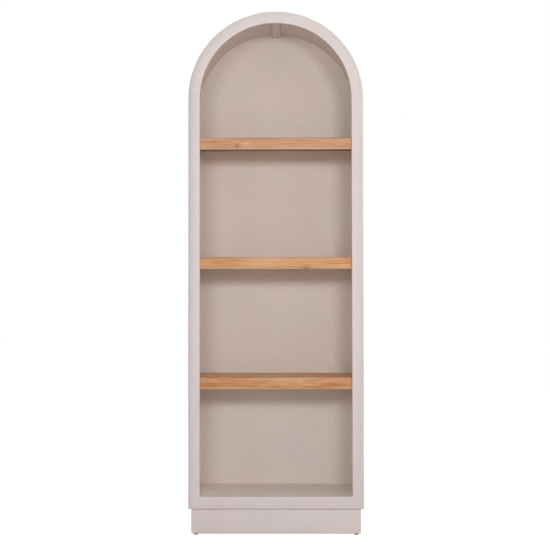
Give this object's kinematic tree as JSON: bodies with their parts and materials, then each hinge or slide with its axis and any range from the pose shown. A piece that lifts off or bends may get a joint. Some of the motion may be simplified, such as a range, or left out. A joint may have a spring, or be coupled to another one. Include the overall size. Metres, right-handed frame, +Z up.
{
  "type": "arched bookcase",
  "caption": "Tall free-standing open bookcase with a round arched head, thick pine shelves, a recessed plinth and screw-in levelling feet.",
  "frame": {"origin": "on the floor, at the centre of the footprint", "axes": "+Z up, +X to the right seen from the front, -Y towards the front"},
  "size_m": [0.712, 0.39, 2.1275],
  "materials": {
    "limewash": "matte limewash paint, faintly brushed and mottled",
    "pine": "satin oiled pine with fine straight grain and small knots",
    "raw_wood": "unfinished softwood",
    "steel": "zinc plated, satin",
    "dark_plastic": "matte moulded plastic"
  },
  "bodies": {
    "case": {"stile_left": "limewash", "stile_right": "limewash", "arch_head_left": "limewash", "arch_head_right": "limewash", "bottom_rail": "limewash", "side_wall_left": "limewash", "side_wall_right": "limewash", "arch_wall_left": "limewash", "arch_wall_right": "limewash", "back_panel": "limewash", "crown_batten": "limewash", "frame_cleat_left": "raw_wood", "frame_cleat_right": "raw_wood", "deck": "limewash", "deck_bearer_left": "raw_wood", "deck_bearer_right": "raw_wood", "deck_bearer_front": "raw_wood", "deck_bearer_rear": "raw_wood", "lower_shelf_nosing": "pine", "lower_shelf_board": "pine", "middle_shelf_nosing": "pine", "middle_shelf_board": "pine", "upper_shelf_nosing": "pine", "upper_shelf_board": "pine", "plinth_front": "limewash", "plinth_rear": "limewash", "plinth_left": "limewash", "plinth_right": "limewash", "corner_block_front_left": "raw_wood", "corner_block_front_right": "raw_wood", "corner_block_rear_left": "raw_wood", "corner_block_rear_right": "raw_wood", "foot_insert_front_left": "steel", "foot_insert_front_right": "steel", "foot_insert_rear_left": "steel", "foot_insert_rear_right": "steel"},
    "front_left_foot": {"foot_stem_front_left": "steel", "foot_pad_front_left": "dark_plastic"},
    "front_right_foot": {"foot_stem_front_right": "steel", "foot_pad_front_right": "dark_plastic"},
    "rear_left_foot": {"foot_stem_rear_left": "steel", "foot_pad_rear_left": "dark_plastic"},
    "rear_right_foot": {"foot_stem_rear_right": "steel", "foot_pad_rear_right": "dark_plastic"}
  },
  "joints": [
    {"name": "front_left_foot_screw", "type": "slide", "parent": "case", "child": "front_left_foot", "axis": [0, 0, -1], "range_m": [0, 0.012]},
    {"name": "front_right_foot_screw", "type": "slide", "parent": "case", "child": "front_right_foot", "axis": [0, 0, -1], "range_m": [0, 0.012]},
    {"name": "rear_left_foot_screw", "type": "slide", "parent": "case", "child": "rear_left_foot", "axis": [0, 0, -1], "range_m": [0, 0.012]},
    {"name": "rear_right_foot_screw", "type": "slide", "parent": "case", "child": "rear_right_foot", "axis": [0, 0, -1], "range_m": [0, 0.012]}
  ]
}
